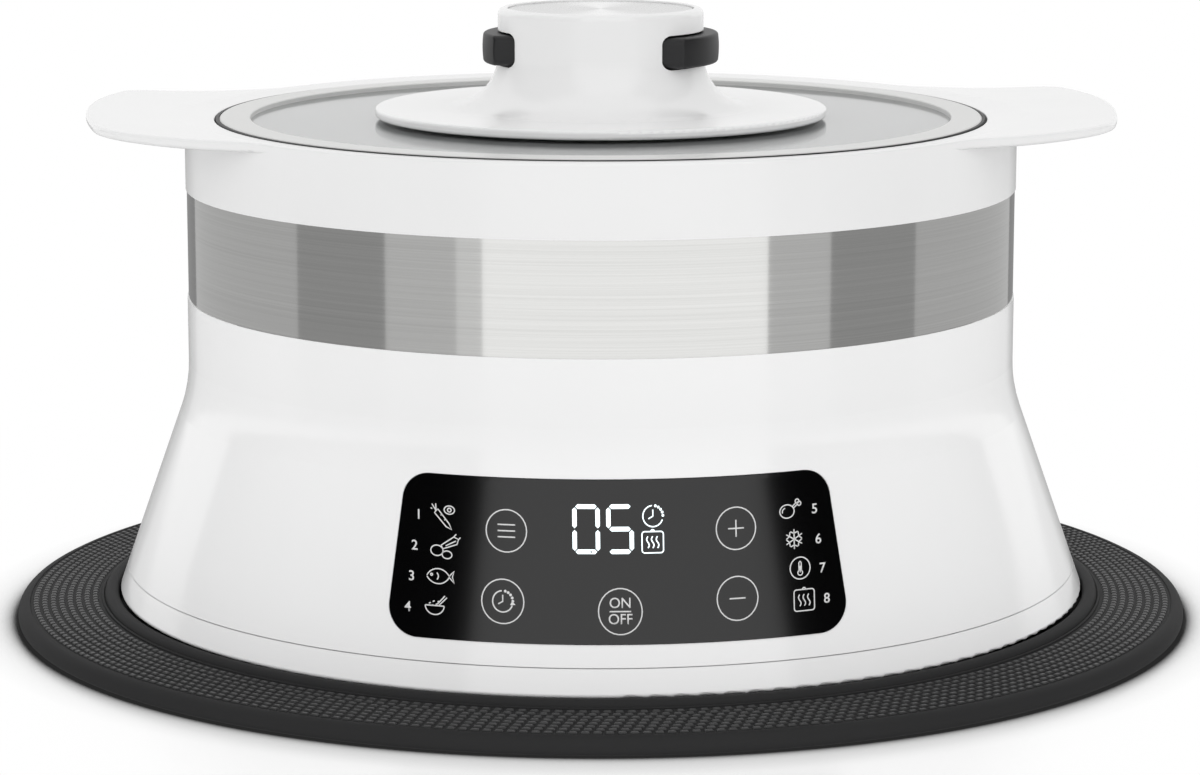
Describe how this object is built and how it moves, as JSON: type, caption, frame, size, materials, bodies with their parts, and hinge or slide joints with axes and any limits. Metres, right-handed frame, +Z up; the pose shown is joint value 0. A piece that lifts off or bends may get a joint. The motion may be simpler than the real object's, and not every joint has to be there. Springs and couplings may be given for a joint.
{
  "type": "electric food steamer",
  "caption": "Round electric food steamer with flared base, touch panel, steel band, eared bowl, glass lid and steam cap, on a wide silicone mat.",
  "frame": {"origin": "middle of the mat's underside, on the surface the steamer stands on", "axes": "+Z up, -Y towards the user (the control panel faces -Y), the two ears point along +X and -X"},
  "size_m": [0.3999, 0.4, 0.2056],
  "materials": {
    "mat_silicone": "matt moulded silicone with a woven texture",
    "white_gloss": "smooth glossy white moulding",
    "white_satin": "smooth white moulding",
    "band_steel": "stainless steel with a fine upright brush",
    "tank_steel": "drawn stainless steel",
    "bowl_steel": "satin stainless steel",
    "inlay_metal": "spun metal",
    "fascia_black": "deep gloss black panel with pale print",
    "display_black": "black display housing",
    "lid_glass": "tempered grey glass",
    "ring_satin": "satin pale grey ring",
    "gasket_silicone": "black silicone",
    "seal_silicone": "translucent pale silicone",
    "button_black": "dark charcoal matt moulding",
    "black_rubber": "black rubber",
    "black_plastic": "black moulded plastic",
    "light_plastic": "natural nylon",
    "grey_plastic": "grey moulded plastic",
    "circuit_board": "green solder resist",
    "heater_aluminium": "cast aluminium",
    "screw_steel": "zinc plated steel",
    "lead_insulation": "silicone insulated lead"
  },
  "bodies": {
    "mat": {"silicone_mat": "mat_silicone"},
    "base": {"base_tray": "white_gloss", "housing_shell": "white_gloss", "steel_band": "band_steel", "rubber_feet": "black_rubber", "base_screws": "screw_steel", "cord_gland": "black_rubber", "gland_nut": "black_plastic", "control_fascia": "fascia_black", "display_board": "circuit_board", "display_module": "display_black", "display_screws": "screw_steel", "touch_springs": "screw_steel", "buzzer": "black_plastic", "display_plug": "light_plastic", "display_harness": "lead_insulation", "water_tank": "tank_steel", "heater_plate": "heater_aluminium", "heating_element": "heater_aluminium", "heater_seal": "seal_silicone", "heater_clamp_ring": "tank_steel", "clamp_nuts": "screw_steel", "thermostats": "black_plastic", "thermal_fuse": "light_plastic", "power_board": "circuit_board", "board_screws": "screw_steel", "terminal_block": "light_plastic", "relay": "black_plastic", "transformer": "black_plastic", "capacitor": "black_plastic", "harness_socket": "light_plastic", "heater_leads": "lead_insulation"},
    "tray": {"drip_tray": "grey_plastic", "tray_tube": "grey_plastic"},
    "bowl": {"steam_bowl": "bowl_steel", "steam_chimney": "bowl_steel", "bowl_collar": "white_gloss"},
    "lid": {"lid_gasket": "gasket_silicone", "lid_ring": "ring_satin", "lid_glass": "lid_glass", "lid_hub": "white_satin", "hub_seal": "gasket_silicone", "hub_nut": "grey_plastic"},
    "cap": {"steam_cap": "white_satin", "cap_inlay": "inlay_metal", "cap_seal": "seal_silicone", "latch_guide": "white_satin", "latch_spring_right": "screw_steel", "latch_spring_left": "screw_steel"},
    "button_right": {"latch_button_right": "button_black"},
    "button_left": {"latch_button_left": "button_black"}
  },
  "joints": [
    {"name": "base_lift", "type": "slide", "parent": "mat", "child": "base", "axis": [0, 0, 1], "range_m": [0, 0.06]},
    {"name": "tray_lift", "type": "slide", "parent": "base", "child": "tray", "axis": [0, 0, 1], "range_m": [0, 0.1]},
    {"name": "bowl_lift", "type": "slide", "parent": "tray", "child": "bowl", "axis": [0, 0, 1], "range_m": [0, 0.1]},
    {"name": "lid_lift", "type": "slide", "parent": "bowl", "child": "lid", "axis": [0, 0, 1], "range_m": [0, 0.06]},
    {"name": "cap_lift", "type": "slide", "parent": "lid", "child": "cap", "axis": [0, 0, 1], "range_m": [0, 0.05]},
    {"name": "press_right", "type": "slide", "parent": "cap", "child": "button_right", "axis": [-0.9781, 0.2079, 0], "range_m": [0, 0.0025], "stiffness_N_per_m": 400, "springref_m": -0.004, "deforming": ["latch_spring_right"]},
    {"name": "press_left", "type": "slide", "parent": "cap", "child": "button_left", "axis": [0.9781, -0.2079, 0], "range_m": [0, 0.0025], "stiffness_N_per_m": 400, "springref_m": -0.004, "deforming": ["latch_spring_left"]}
  ]
}
